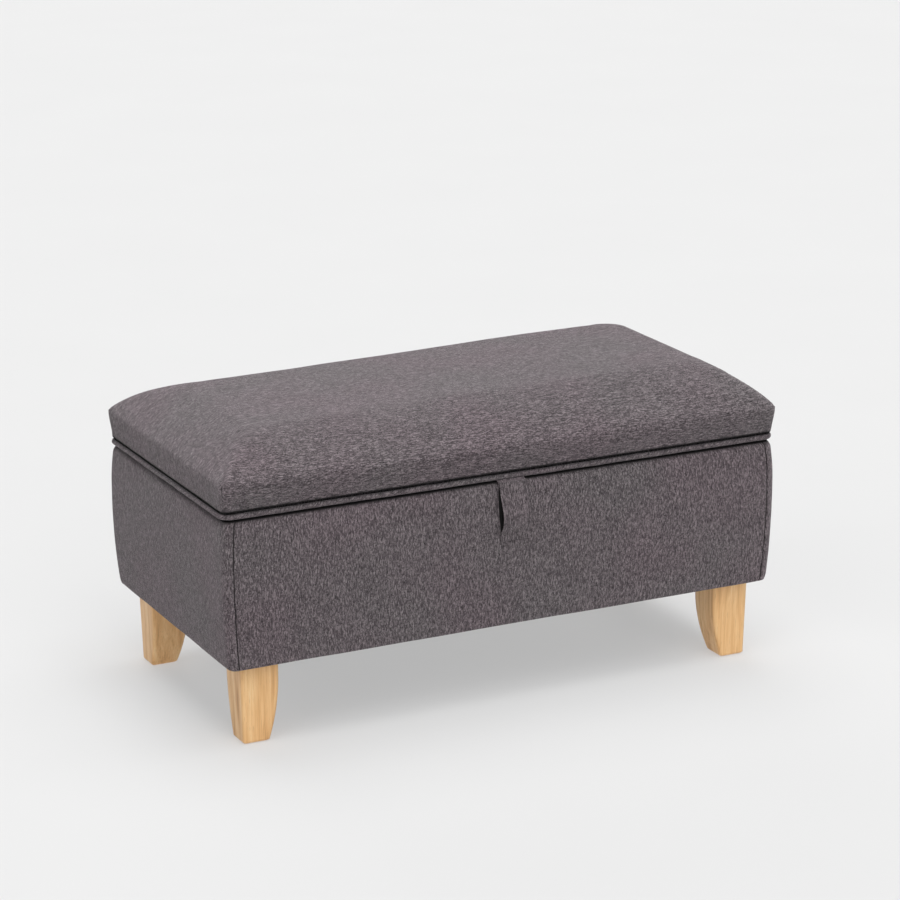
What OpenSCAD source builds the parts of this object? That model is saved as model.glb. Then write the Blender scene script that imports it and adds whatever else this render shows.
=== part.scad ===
// Upholstered storage bench: a padded box on four wooden legs, under a hinged padded lid.
// Millimetres. Origin on the floor under the middle, +X along the length, -Y to the front, +Z up.

/* [Overall] */
// Length over the padded ends
bench_l = 800; // [760:1:900]
// Depth over the padded front and back
bench_d = 406; // [396:1:440]
// Height of the lid's crown above the floor
bench_h = 403; // [395:1:430]

/* [Legs] */
// Height of the box's underside above the floor
leg_h = 110; // [95:1:120]
// Width of a leg at its top
leg_top_w = 52; // [46:1:56]
// Width of a leg at its foot
leg_foot_w = 36; // [32:1:40]
// How far the outer faces lean in between the top and the foot
leg_lean = 2.5; // [1:0.5:4]
// Height of the straight stretch at the top of a leg
leg_straight = 25; // [15:1:35]
// Chamfer round the foot
leg_chamfer = 1.6; // [1:0.1:3]
// How far a leg stands in from the bench's ends
leg_in_x = 28.5; // [24:0.5:40]
// How far a leg stands in from the bench's front and back
leg_in_y = 22; // [20:0.5:30]
// Thickness of the plastic glide under a leg
glide_t = 1.2; // [1:0.1:3]

/* [Box] */
// Height of the wooden rim above the floor
rim_h = 304; // [300:1:308]
// Thickness of the box's panels and of the lid's board
panel_t = 12; // [10:1:14]
// Padding and cover outside the panels at the widest
side_pad = 12; // [11:0.5:14]
// Thickness of the cover fabric
cover_t = 1; // [0.8:0.1:1]
// Thickness of the lining fabric
lining_t = 0.8; // [0.5:0.1:0.8]
// Corner radius of the padded box and lid in plan
corner_r = 12; // [10:1:16]
// Height of the widest line of the padded box
belly_h = 245; // [230:1:255]
// Side of the square glue blocks in the corners
block_w = 18; // [14:1:18]

/* [Lid] */
// Length of the piping loop, centre to centre
piping_l = 791; // [751:1:891]
// Depth of the piping loop, centre to centre
piping_d = 391; // [387:1:425]
// Radius of the piping
piping_r = 3.9; // [3:0.1:4]
// Height of the widest line of the lid
lid_wide_h = 351; // [340:1:356]
// How far the lid's widest line stands out past the box at the front and back
lid_over_y = 3; // [0:0.5:4]
// How far the sloping shoulder reaches in from the lid's ends
shoulder_w = 78; // [60:1:90]
// How far the sloping shoulder reaches in from the lid's front and back
shoulder_d = 93; // [70:1:100]
// Corner radius of the lid at its widest line
lid_corner_r = 19; // [16:1:24]
// How much the crown rises above the end of the shoulder
crown_rise = 1.5; // [1:0.5:6]

/* [Hinges] */
// Distance from the middle hinge to each outer hinge
hinge_pitch = 270; // [200:5:290]
// Length of a hinge
hinge_l = 60; // [50:1:80]
// Thickness of a hinge leaf
leaf_t = 1; // [0.8:0.1:1]
// Radius of a hinge knuckle
knuckle_r = 3; // [2.8:0.1:3.2]
// Radius of a hinge pin
pin_r = 1.5; // [1.2:0.1:1.6]

/* [Lid stays] */
// Distance from the hinge line to the stay's pivot on the lid
stay_reach = 110; // [90:1:115]
// How far the stay's pivot on the lid hangs under the hinge line
stay_hang = 15; // [13:1:16]
// How far the wall pivot stands in front of and under the hinge line
stay_offset = 85; // [75:1:88]
// Width of a stay bar
bar_w = 14; // [12:1:16]
// Thickness of a stay bar
bar_t = 2; // [1.5:0.1:2.2]
// Radius of the stay's rivets
rivet_r = 3; // [2.5:0.1:3.5]

/* [Pull tab] */
// Width of the fabric pull tab
tab_w = 39; // [30:1:60]
// Length of the pull tab below the lid
tab_l = 80; // [60:1:90]
// Place of the tab's middle along the bench
tab_x = 2; // [-20:1:20]
// Widest gap inside the tab's loop
tab_gap = 8; // [7:0.5:9]
// Thickness of one ply of the tab
ply_t = 1.2; // [1:0.1:1.4]

/* [Hidden] */

half_l = bench_l / 2;
half_d = bench_d / 2;
slab_t = 0.02;                       // thin slices that a padded form is stretched over
round_fn = 64;
corner_fn = 32;
arc_fn = 256;
over = 1;                            // how far a cutting shape runs past what it cuts
slack = 0.2;                         // between a soft part and what it lies against

// Box
panel_x = half_l - side_pad;         // outer faces of the panels
panel_y = half_d - side_pad;
inner_x = panel_x - panel_t;         // inner faces of the panels
inner_y = panel_y - panel_t;
floor_z = leg_h + cover_t;           // underside of the bottom panel
well_z = floor_z + panel_t;          // top of the bottom panel
felt_t = 3;
block_top = rim_h - 14;              // the blocks stop short of the lid's fittings
base_top = rim_h + cover_t;
low_bulge = 3.8;                     // how far the sides draw in below and above the belly
low_span = 117;
high_bulge = 2.7;
high_span = 50;
edge_tuck = 2;
edge_span = 9;
flange_w = 28;                       // turned-in fabric under the box and under the lid

// Lid
lid_gap = 0.6;                       // between the box's rim and the lid
lid_under = base_top + lid_gap;
board_z = lid_under + lining_t;
board_top = board_z + panel_t;
piping_z = board_z + piping_r + 0.1;
neck_gap = 0.4;                      // between the piping and the neck inside it
neck_x = piping_l / 2 - piping_r - neck_gap;
neck_y = piping_d / 2 - piping_r - neck_gap;
ledge_z = piping_z + piping_r + 0.9;
ledge_in = 0.3;
shoulder_top = bench_h - crown_rise;
shoulder_bend = 1.3;                 // 1 gives a straight slope and 2 a round shoulder
corner_growth = 0.29;                // of the corner radius, for each mm in from the widest line
crown_in_x = 172;                    // where the level crown starts
crown_in_y = 146;
crown_corner_r = 36;

// Legs
leg_x = half_l - leg_in_x;           // outer faces at the top
leg_y = half_d - leg_in_y;
leg_sag = leg_top_w - leg_lean - leg_foot_w;
leg_drop = leg_h - leg_straight - glide_t;
leg_arc_r = (leg_drop * leg_drop + leg_sag * leg_sag) / (2 * leg_sag);
bolt_x = leg_x - leg_top_w / 2;
bolt_y = leg_y - leg_top_w / 2;
bolt_r = 4;
bolt_low = 62;
bolt_recess = 0.5;                   // from the top of the tee nut
nut_barrel_r = 5;
nut_flange_r = 11;
nut_flange_t = 1.5;
nut_recess = 1;                      // from the underside of the bottom panel
nut_clear = 0.5;
glide_r = 12;

// Screws
screw_r = 1.5;
screw_head_r = 2.6;
panel_screw_r = 2;
panel_screw_head_r = 4;
panel_screw_l = 38;
panel_screw_in = 30;                 // from the panels' lower and upper edges
floor_screw_dx = 250;
pan_screw_r = 1.75;
pan_head_t = 1.3;
pan_head_ratio = 1.9;

// Hinges
hinge_y = half_d;
hinge_z = base_top + slack;
hinge_xs = [-hinge_pitch, 0, hinge_pitch];
lid_leaf_z = board_z - leaf_t;
knuckles = 5;
knuckle_w = hinge_l / knuckles;
knuckle_gap = 0.3;
knuckle_slot = 0.5;                  // of the other leaf, round a knuckle
pocket_gap = 0.5;
pin_proud = 1;
leaf_front = inner_y + pocket_gap;
leaf_screw_y = panel_y - panel_t / 2;
leaf_screw_dx = 20;
base_leaf_screw_l = 16;
lid_leaf_screw_l = 10;
running_fit = 0.05;

// Stays: wall pivot, lid pivot and knee, as [y, z] with the lid shut
wall_pivot = [hinge_y - stay_offset, hinge_z - stay_offset];
lid_pivot = [hinge_y - stay_reach, hinge_z - stay_hang];
knee = wall_pivot + lid_pivot - [hinge_y, hinge_z];
wall_x = inner_x - lining_t;         // face of the side lining
layer_gap = 0.5;
plate_x = wall_x - bar_t;
arm_x = plate_x - layer_gap - bar_t;
link_x = arm_x - layer_gap - bar_t;
rivet_head_r = 5;
rivet_head_t = 1.1;
rivet_gap = 0.3;
open_fit = 0.3;                      // play of the pivot between link and bracket
plate_l = 34;
plate_r = 12;
plate_screw_step = 18;
plate_screw_l = 11;
bracket_w = 38;
bracket_d = 20;
bracket_screw_dy = 13;
bracket_screw_in = 13;
bracket_screw_l = 12;
ear_w = 22;

// Pull tab, as distances out from the middle and down from the lid
tab_root = half_d - 2.4;
tab_lean = 2.8;
tab_lean_l = 55;
tab_joined = 13;                     // sewn together below the loop
tab_loop_l = tab_l - tab_joined;
tab_tail_l = 34;
tab_slack = 0.3;
tab_steps = 18;
slit_step = 3;

// ---- plain shapes ----

module upright_box(x, y, z0, z1) {
    translate([-x, -y, z0]) cube([2 * x, 2 * y, z1 - z0]);
}

// A flat slab with round upright corners
module rounded_slab(x, y, r, z0, z1) {
    upright_box(x - r, y, z0, z1);
    upright_box(x, y - r, z0, z1);
    at_corners(x - r, y - r)
        translate([0, 0, z0]) cylinder(h = z1 - z0, r = r, $fn = round_fn);
}

module at_corners(x, y) {
    for (sx = [-1, 1], sy = [-1, 1]) {
        translate([sx * x, sy * y, 0]) children();
    }
}

// A form stretched over level slices, each [height, half length, half depth, corner radius]
module lofted(slices) {
    top = slices[len(slices) - 1][0];
    hull() {
        for (s = slices) {
            at_corners(s[1] - s[3], s[2] - s[3])
                translate([0, 0, min(s[0], top - slab_t)])
                    cylinder(h = slab_t, r = s[3], $fn = corner_fn);
        }
    }
}

// A flat shape drawn as [y, z], standing across the bench from x onwards
module across(x, t) {
    translate([x, 0, 0]) rotate([90, 0, 90]) linear_extrude(t) children();
}

module rod_x(x0, x1, p, r) {
    translate([x0, p[0], p[1]]) rotate([0, 90, 0]) cylinder(h = x1 - x0, r = r, $fn = round_fn);
}

// A countersunk wood screw, head at the origin, pointing down
module screw(l, r, head_r) {
    head_t = head_r - r;
    translate([0, 0, -head_t]) cylinder(h = head_t, r1 = r, r2 = head_r, $fn = round_fn);
    translate([0, 0, -l]) cylinder(h = l - head_t, r = r, $fn = round_fn);
}

// A pan-head screw, underside of the head at the origin, pointing down
module pan_screw(l, r) {
    cylinder(h = pan_head_t, r = pan_head_ratio * r, $fn = round_fn);
    translate([0, 0, -l]) cylinder(h = l, r = r, $fn = round_fn);
}

// ---- padded box ----

function draw_in(z) = z < belly_h
    ? low_bulge * pow((belly_h - z) / low_span, 2)
    : high_bulge * pow((z - belly_h) / high_span, 2);

function tuck(z) =
    edge_tuck * pow(max(0, 1 - (z - leg_h) / edge_span, 1 - (base_top - z) / edge_span), 2);

function box_slice(z, t) =
    let (inset = draw_in(z) + tuck(z) + t)
    [z, half_l - inset, half_d - inset, corner_r - t];

// Heights of the slices: close together at both edges, wide apart between
function box_heights(lo, hi) = concat(
    [for (e = [0, 0.3, 0.6, 1]) lo + e * edge_span],
    [for (f = [1 : 5]) lo + edge_span + (hi - lo - 2 * edge_span) * f / 6],
    [for (e = [1, 0.6, 0.3, 0]) hi - e * edge_span]
);

module box_form(t) {
    lofted([for (z = box_heights(leg_h + t, base_top - t)) box_slice(z, t)]);
}

module padding_ring() {
    difference() {
        box_form(cover_t);
        upright_box(panel_x, panel_y, leg_h, base_top);
    }
}

module front_padding() {
    color("Beige") intersection() {
        padding_ring();
        translate([-half_l, -half_d, leg_h]) cube([bench_l, side_pad, base_top - leg_h]);
    }
}

module back_padding() {
    color("Beige") mirror([0, 1, 0]) front_padding();
}

module left_padding() {
    color("Beige") intersection() {
        padding_ring();
        translate([-half_l, -panel_y, leg_h]) cube([side_pad, 2 * panel_y, base_top - leg_h]);
    }
}

module right_padding() {
    color("Beige") mirror([1, 0, 0]) left_padding();
}

module hinge_pockets(z0, z1) {
    for (x = hinge_xs) {
        translate([x - hinge_l / 2 - pocket_gap, leaf_front - pocket_gap, z0])
            cube([hinge_l + 2 * pocket_gap, half_d, z1 - z0]);
    }
}

// The outer fabric: round the sides, over the rim and a little way under the box
module base_cover() {
    color("DimGray") difference() {
        box_form(0);
        box_form(cover_t);
        upright_box(inner_x, inner_y, belly_h, base_top + over);
        upright_box(panel_x - flange_w, panel_y - flange_w, leg_h - over, belly_h);
        hinge_pockets(rim_h, base_top + over);
    }
}

// ---- box panels ----

module long_panel() {
    translate([-panel_x, -panel_y, floor_z]) cube([2 * panel_x, panel_t, rim_h - floor_z]);
}

module end_panel() {
    translate([-panel_x, -inner_y, floor_z]) cube([panel_t, 2 * inner_y, rim_h - floor_z]);
}

module panel_screws() {
    heights = [floor_z + panel_screw_in, (floor_z + rim_h) / 2, rim_h - panel_screw_in];
    end_spots = [for (sx = [-1, 1], z = heights) [sx * (panel_x - panel_t / 2), z]];
    floor_spots = [for (x = [-1 : 1]) [x * floor_screw_dx, floor_z + panel_t / 2]];
    color("Silver") for (side = [0, 1], p = concat(end_spots, floor_spots)) {
        mirror([0, side, 0]) translate([p[0], -panel_y, p[1]]) rotate([90, 0, 0])
            screw(panel_screw_l, panel_screw_r, panel_screw_head_r);
    }
}

module front_panel() {
    color("BurlyWood") difference() {
        long_panel();
        panel_screws();
    }
}

module back_panel() {
    color("BurlyWood") difference() {
        mirror([0, 1, 0]) long_panel();
        panel_screws();
        hinge_base_screws();
    }
}

module left_panel() {
    color("BurlyWood") difference() {
        end_panel();
        panel_screws();
        stay_plate_screws();
    }
}

module right_panel() {
    mirror([1, 0, 0]) left_panel();
}

module bottom_panel() {
    color("BurlyWood") difference() {
        upright_box(inner_x, inner_y, floor_z, well_z);
        panel_screws();
        at_corners(bolt_x, bolt_y)
            translate([0, 0, leg_h]) cylinder(h = panel_t * 2, r = nut_barrel_r, $fn = round_fn);
    }
}

module corner_blocks() {
    color("Tan") at_corners(inner_x - block_w / 2, inner_y - block_w / 2)
        upright_box(block_w / 2, block_w / 2, well_z, block_top);
}

// ---- linings ----

// The inside of the box less its corner blocks, drawn in by t
module well(t, z0, z1) {
    difference() {
        upright_box(inner_x - t, inner_y - t, z0, z1);
        at_corners(inner_x, inner_y)
            upright_box(block_w + t, block_w + t, z0 - over, z1 + over);
    }
}

module box_lining() {
    color("SlateGray") difference() {
        well(0, well_z, rim_h);
        well(lining_t, well_z - over, rim_h + over);
        stay_plate_screws();
    }
}

module floor_lining() {
    color("SlateGray") difference() {
        well(lining_t, well_z, well_z + felt_t);
        at_corners(bolt_x, bolt_y)
            translate([0, 0, well_z - over])
                cylinder(h = over + nut_flange_t + slack, r = nut_flange_r + nut_clear,
                         $fn = round_fn);
    }
}

module dust_cover() {
    edge = flange_w + slack;
    color("Black") difference() {
        upright_box(panel_x - edge, panel_y - edge, leg_h, floor_z);
        leg_bolts();
    }
}

// ---- legs ----

// Side view of a leg: x inwards from the outer face at the top, y up from the floor
module leg_outline() {
    foot_in = leg_lean + leg_foot_w;
    intersection() {
        polygon([
            [0, leg_h],
            [leg_top_w, leg_h],
            [leg_top_w, glide_t + leg_top_w - foot_in + leg_chamfer],
            [foot_in - leg_chamfer, glide_t],
            [leg_lean + leg_chamfer, glide_t],
            [leg_lean, glide_t + leg_chamfer]
        ]);
        union() {
            translate([0, leg_h - leg_straight]) square([leg_top_w, leg_straight]);
            translate([leg_top_w - leg_arc_r, leg_h - leg_straight])
                circle(r = leg_arc_r, $fn = arc_fn);
        }
    }
}

// The front left leg; the others are its mirror images
module leg() {
    color("BurlyWood") difference() {
        translate([-leg_x, -leg_y, 0]) intersection() {
            translate([0, leg_top_w, 0]) rotate([90, 0, 0])
                linear_extrude(leg_top_w) leg_outline();
            across(0, leg_top_w) leg_outline();
        }
        translate([-bolt_x, -bolt_y, bolt_low])
            cylinder(h = leg_h, r = bolt_r, $fn = round_fn);
    }
}

module leg_front_left() {
    leg();
}

module leg_front_right() {
    mirror([1, 0, 0]) leg();
}

module leg_back_left() {
    mirror([0, 1, 0]) leg();
}

module leg_back_right() {
    mirror([1, 0, 0]) mirror([0, 1, 0]) leg();
}

module leg_bolts() {
    color("Silver") at_corners(bolt_x, bolt_y)
        translate([0, 0, bolt_low])
            cylinder(h = well_z + nut_flange_t - bolt_recess - bolt_low, r = bolt_r,
                     $fn = round_fn);
}

module tee_nuts() {
    color("Silver") at_corners(bolt_x, bolt_y) difference() {
        union() {
            translate([0, 0, floor_z + nut_recess])
                cylinder(h = panel_t - nut_recess, r = nut_barrel_r, $fn = round_fn);
            translate([0, 0, well_z])
                cylinder(h = nut_flange_t, r = nut_flange_r, $fn = round_fn);
        }
        translate([0, 0, floor_z])
            cylinder(h = panel_t * 2, r = bolt_r, $fn = round_fn);
    }
}

module leg_glides() {
    middle = leg_lean + leg_foot_w / 2;
    color("DarkSlateGray") at_corners(leg_x - middle, leg_y - middle)
        cylinder(h = glide_t, r = glide_r, $fn = round_fn);
}

// ---- hinges ----

// Knuckles of one leaf: first is 0 for the box's leaf and 1 for the lid's
module knuckle_row(first, grow, r) {
    for (k = [first : 2 : knuckles - 1]) {
        x0 = -hinge_l / 2 + k * knuckle_w;
        rod_x(x0 + knuckle_gap / 2 - grow, x0 + knuckle_w - knuckle_gap / 2 + grow,
              [hinge_y, hinge_z], r);
    }
}

module hinge_leaf(first, z, bore_r) {
    reach = knuckle_r + knuckle_slot;
    difference() {
        union() {
            difference() {
                translate([-hinge_l / 2, leaf_front, z])
                    cube([hinge_l, hinge_y - leaf_front, leaf_t]);
                knuckle_row(1 - first, knuckle_gap, reach);
            }
            knuckle_row(first, 0, knuckle_r);
        }
        rod_x(-hinge_l, hinge_l, [hinge_y, hinge_z], bore_r);
    }
}

module hinge_base_leaves() {
    color("Silver") difference() {
        for (x = hinge_xs) {
            translate([x, 0, 0]) hinge_leaf(0, rim_h, pin_r);
        }
        hinge_base_screws();
    }
}

module hinge_lid_leaves() {
    color("Silver") difference() {
        for (x = hinge_xs) {
            translate([x, 0, 0]) hinge_leaf(1, lid_leaf_z, pin_r + running_fit);
        }
        hinge_lid_screws();
    }
}

module hinge_pins() {
    color("DimGray") for (x = hinge_xs) {
        rod_x(x - hinge_l / 2 - pin_proud, x + hinge_l / 2 + pin_proud,
              [hinge_y, hinge_z], pin_r);
    }
}

module at_leaf_screws(z) {
    for (x = hinge_xs, dx = [-leaf_screw_dx, leaf_screw_dx]) {
        translate([x + dx, leaf_screw_y, z]) children();
    }
}

module hinge_base_screws() {
    color("Silver") at_leaf_screws(rim_h + leaf_t)
        screw(base_leaf_screw_l, screw_r, screw_head_r);
}

module hinge_lid_screws() {
    color("Silver") at_leaf_screws(lid_leaf_z) mirror([0, 0, 1])
        screw(lid_leaf_screw_l, screw_r, screw_head_r);
}

// ---- lid ----

// Half of a size at height s between the ledge (0) and the widest line (1)
function flare(foot, wide, s) = foot + (wide - foot) * sin(90 * s);

// A share of the shoulder's rise, or of its reach, from the sine or the cosine of the angle
function bent(share) = pow(share, 2 / shoulder_bend);

function lid_slices(t) = concat(
    [for (s = [0 : 0.25 : 0.75])
        let (z = ledge_z + t + (lid_wide_h - ledge_z - t) * s)
        [z, flare(piping_l / 2 - ledge_in, half_l, s) - t,
            flare(piping_d / 2 - ledge_in, half_d + lid_over_y, s) - t,
            flare(corner_r, lid_corner_r, s) - t]],
    [for (a = [0 : 11.25 : 90])
        let (inset = 1 - bent(cos(a)), inset_x = (shoulder_w - t) * inset + t)
        [lid_wide_h + (shoulder_top - t - lid_wide_h) * bent(sin(a)),
            half_l - inset_x, half_d + lid_over_y - (shoulder_d - t) * inset - t,
            lid_corner_r - t + corner_growth * inset_x]],
    [[bench_h - t, half_l - crown_in_x, half_d - crown_in_y, crown_corner_r]]
);

// The cushion stands over the piping; below it a straight neck passes inside the piping
module lid_form(t) {
    lofted(lid_slices(t));
    rounded_slab(neck_x - t, neck_y - t, corner_r - t,
                 t == 0 ? lid_under : board_z, ledge_z + t + over);
}

module lid_board_blank() {
    rounded_slab(neck_x - cover_t, neck_y - cover_t, corner_r - cover_t, board_z, board_top);
}

module lid_board() {
    color("BurlyWood") difference() {
        lid_board_blank();
        hinge_lid_screws();
        lid_bracket_screws();
    }
}

module lid_foam() {
    color("Beige") difference() {
        lofted(lid_slices(cover_t));
        lid_board_blank();
    }
}

module tab_notch(z0, z1) {
    translate([tab_x - tab_w / 2 - tab_slack, -half_d, z0])
        cube([tab_w + 2 * tab_slack, half_d - neck_y + tab_tail_l, z1 - z0]);
}

module lid_cover() {
    color("DimGray") difference() {
        lid_form(0);
        lid_form(cover_t);
        upright_box(neck_x - flange_w, neck_y - flange_w, lid_under - over, board_z + over);
        hinge_pockets(lid_under - over, board_z);
        tab_notch(lid_under - over, board_z);
    }
}

module lid_lining() {
    edge = flange_w + slack;
    color("SlateGray") difference() {
        upright_box(neck_x - edge, neck_y - edge, lid_under, board_z);
        hinge_pockets(lid_under - over, board_z + over);
        tab_notch(lid_under - over, board_z + over);
        lid_bracket_screws();
    }
}

// The corded seam round the bottom of the lid
module lid_piping() {
    x = piping_l / 2 - corner_r;
    y = piping_d / 2 - corner_r;
    color("Gray") translate([0, 0, piping_z]) {
        for (s = [-1, 1]) {
            translate([-x, s * (y + corner_r), 0]) rotate([0, 90, 0])
                cylinder(h = 2 * x, r = piping_r, $fn = round_fn);
            translate([s * (x + corner_r), y, 0]) rotate([90, 0, 0])
                cylinder(h = 2 * y, r = piping_r, $fn = round_fn);
        }
        for (c = [[1, 1, 0], [-1, 1, 90], [-1, -1, 180], [1, -1, 270]]) {
            translate([c[0] * x, c[1] * y, 0]) rotate([0, 0, c[2]])
                rotate_extrude(angle = 90, $fn = round_fn)
                    translate([corner_r, 0]) circle(r = piping_r, $fn = round_fn);
        }
    }
}

// ---- pull tab ----

function tab_back(h) = tab_root + tab_lean * sin(90 * min(1, h / tab_lean_l));
function tab_bow(h) = h < tab_loop_l ? tab_gap * sin(180 * h / tab_loop_l) : 0;

// Side view of the hanging loop: both plies, joined at the top and along the bottom
module tab_outline() {
    step = tab_l / tab_steps;
    down = [for (i = [0 : tab_steps]) i * step];
    up = [for (i = [tab_steps : -1 : 0]) i * step];
    slit_down = [for (h = [slit_step : slit_step : tab_loop_l - slit_step]) h];
    slit_up = [for (i = [len(slit_down) - 1 : -1 : 0]) slit_down[i]];
    difference() {
        polygon(concat(
            [for (h = down) [-tab_back(h), lid_under - h]],
            [for (h = up) [-tab_back(h) - 2 * ply_t - tab_bow(h), lid_under - h]]
        ));
        polygon(concat(
            [for (h = slit_down) [-tab_back(h) - ply_t, lid_under - h]],
            [for (h = slit_up) [-tab_back(h) - ply_t - tab_bow(h), lid_under - h]]
        ));
    }
}

module pull_tab() {
    color("DimGray") across(tab_x - tab_w / 2, tab_w) tab_outline();
}

// The stapled end of the tab, held under the lid's board
module tab_tail() {
    y0 = tab_root - tab_slack;
    color("DimGray") translate([tab_x - tab_w / 2, -y0, lid_under])
        cube([tab_w, y0 - neck_y + tab_tail_l - tab_slack, lining_t]);
}

// ---- lid stays: drawn for the left end, mirrored for the right ----

// A flat bar with round ends and an eye at each, from p to q
module bar(p, q, p_clearance, q_clearance) {
    length = norm(q - p);
    translate(p) rotate(atan2(q[1] - p[1], q[0] - p[0])) difference() {
        union() {
            translate([0, -bar_w / 2]) square([length, bar_w]);
            circle(d = bar_w, $fn = round_fn);
            translate([length, 0]) circle(d = bar_w, $fn = round_fn);
        }
        circle(r = rivet_r + p_clearance, $fn = round_fn);
        translate([length, 0]) circle(r = rivet_r + q_clearance, $fn = round_fn);
    }
}

// A round head on the inner end of a rivet, past the layer whose inner face is at x
module rivet_head(x, p) {
    rod_x(-x + rivet_gap, -x + rivet_gap + rivet_head_t, p, rivet_head_r);
}

module stay_plate() {
    foot = wall_pivot - [0, plate_l];
    color("Silver") {
        difference() {
            across(-wall_x, bar_t) union() {
                translate(foot - [plate_r, 0]) square([2 * plate_r, plate_l]);
                translate(wall_pivot) circle(r = plate_r, $fn = round_fn);
                translate(foot) circle(r = plate_r, $fn = round_fn);
            }
            stay_plate_screws();
        }
        rod_x(-plate_x, -arm_x + rivet_gap, wall_pivot, rivet_r);
        rivet_head(arm_x, wall_pivot);
    }
}

module stay_arm() {
    color("Silver") across(-arm_x - bar_t, bar_t) bar(wall_pivot, knee, running_fit, 0);
}

module stay_link() {
    color("Silver") across(-link_x - bar_t, bar_t)
        bar(knee, lid_pivot, running_fit, open_fit);
}

module knee_rivet() {
    color("DimGray") {
        rod_x(-arm_x - bar_t, -link_x + rivet_gap, knee, rivet_r);
        rivet_head(link_x, knee);
    }
}

// An angle under the lid: a flange against the board and an ear that carries the open pivot
module lid_bracket() {
    color("Silver") {
        difference() {
            translate([-arm_x - bar_t, lid_pivot[0] - bracket_w / 2, lid_under - bar_t])
                cube([bracket_d, bracket_w, bar_t]);
            lid_bracket_screws();
        }
        across(-arm_x - bar_t, bar_t) {
            translate([lid_pivot[0] - ear_w / 2, lid_pivot[1]])
                square([ear_w, lid_under - lid_pivot[1]]);
            translate(lid_pivot) circle(d = ear_w, $fn = round_fn);
        }
        rod_x(-arm_x, -link_x + rivet_gap, lid_pivot, rivet_r);
        rivet_head(link_x, lid_pivot);
    }
}

module both_ends() {
    children();
    mirror([1, 0, 0]) children();
}

module stay_plate_screws() {
    color("Silver") both_ends() for (k = [1, 2]) {
        translate([-plate_x, wall_pivot[0], wall_pivot[1] - k * plate_screw_step])
            rotate([0, 90, 0]) pan_screw(plate_screw_l, pan_screw_r);
    }
}

module lid_bracket_screws() {
    color("Silver") both_ends() for (side = [-1, 1]) {
        translate([-arm_x - bar_t + bracket_screw_in, lid_pivot[0] + side * bracket_screw_dy,
                   lid_under - bar_t])
            mirror([0, 0, 1]) pan_screw(bracket_screw_l, pan_screw_r);
    }
}

module left_stay_plate() {
    stay_plate();
}

module right_stay_plate() {
    mirror([1, 0, 0]) stay_plate();
}

module left_stay_arm() {
    stay_arm();
}

module right_stay_arm() {
    mirror([1, 0, 0]) stay_arm();
}

module left_stay_link() {
    stay_link();
}

module right_stay_link() {
    mirror([1, 0, 0]) stay_link();
}

module left_knee_rivet() {
    knee_rivet();
}

module right_knee_rivet() {
    mirror([1, 0, 0]) knee_rivet();
}

module left_lid_bracket() {
    lid_bracket();
}

module right_lid_bracket() {
    mirror([1, 0, 0]) lid_bracket();
}

front_panel();
back_panel();
left_panel();
right_panel();
bottom_panel();
corner_blocks();
panel_screws();
front_padding();
back_padding();
left_padding();
right_padding();
base_cover();
box_lining();
floor_lining();
dust_cover();
leg_front_left();
leg_front_right();
leg_back_left();
leg_back_right();
leg_bolts();
tee_nuts();
leg_glides();
hinge_base_leaves();
hinge_pins();
hinge_base_screws();
left_stay_plate();
right_stay_plate();
stay_plate_screws();
lid_board();
lid_foam();
lid_cover();
lid_piping();
lid_lining();
tab_tail();
hinge_lid_leaves();
hinge_lid_screws();
left_lid_bracket();
right_lid_bracket();
lid_bracket_screws();
pull_tab();
left_stay_arm();
left_knee_rivet();
left_stay_link();
right_stay_arm();
right_knee_rivet();
right_stay_link();
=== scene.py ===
"""Looks of the storage bench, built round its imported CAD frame.

Metres, in the frame's own axes: +X along the length, -Y to the front, +Z up.
"""

import math

import bpy
import numpy as np
from mathutils import Matrix, Vector, noise


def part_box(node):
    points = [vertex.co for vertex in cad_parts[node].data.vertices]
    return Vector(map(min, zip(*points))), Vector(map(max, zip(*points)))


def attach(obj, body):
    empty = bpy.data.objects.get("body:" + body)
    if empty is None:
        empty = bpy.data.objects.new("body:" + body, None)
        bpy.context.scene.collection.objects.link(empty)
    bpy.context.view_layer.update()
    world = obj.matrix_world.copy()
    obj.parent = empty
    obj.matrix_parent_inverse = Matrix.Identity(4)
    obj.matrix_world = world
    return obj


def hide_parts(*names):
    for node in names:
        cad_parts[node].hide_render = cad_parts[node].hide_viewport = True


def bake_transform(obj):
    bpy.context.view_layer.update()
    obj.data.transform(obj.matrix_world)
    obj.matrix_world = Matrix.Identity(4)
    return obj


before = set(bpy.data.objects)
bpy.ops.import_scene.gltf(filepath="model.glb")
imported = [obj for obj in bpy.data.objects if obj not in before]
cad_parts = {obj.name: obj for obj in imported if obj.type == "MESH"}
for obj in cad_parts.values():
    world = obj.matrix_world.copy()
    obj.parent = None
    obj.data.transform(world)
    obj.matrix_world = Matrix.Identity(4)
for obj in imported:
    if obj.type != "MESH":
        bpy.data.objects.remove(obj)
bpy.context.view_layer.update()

MM = 0.001
TAU = 2 * math.pi

# ---- places, read from the frame ----

cover_lo, cover_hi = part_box("base_cover")
panel_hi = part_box("front_panel")[1]
lining_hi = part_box("box_lining")[1]
felt_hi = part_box("floor_lining")[1]
dust_lo, dust_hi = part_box("dust_cover")
lid_lo, lid_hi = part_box("lid_cover")
board_lo, board_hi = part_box("lid_board")
lid_lining_lo, lid_lining_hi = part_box("lid_lining")
cord_lo, cord_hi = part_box("lid_piping")
tab_lo, tab_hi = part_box("pull_tab")
leg_lo, leg_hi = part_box("leg_front_left")
leaf_lo, leaf_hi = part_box("hinge_base_leaves")
block_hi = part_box("corner_blocks")[1]

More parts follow.
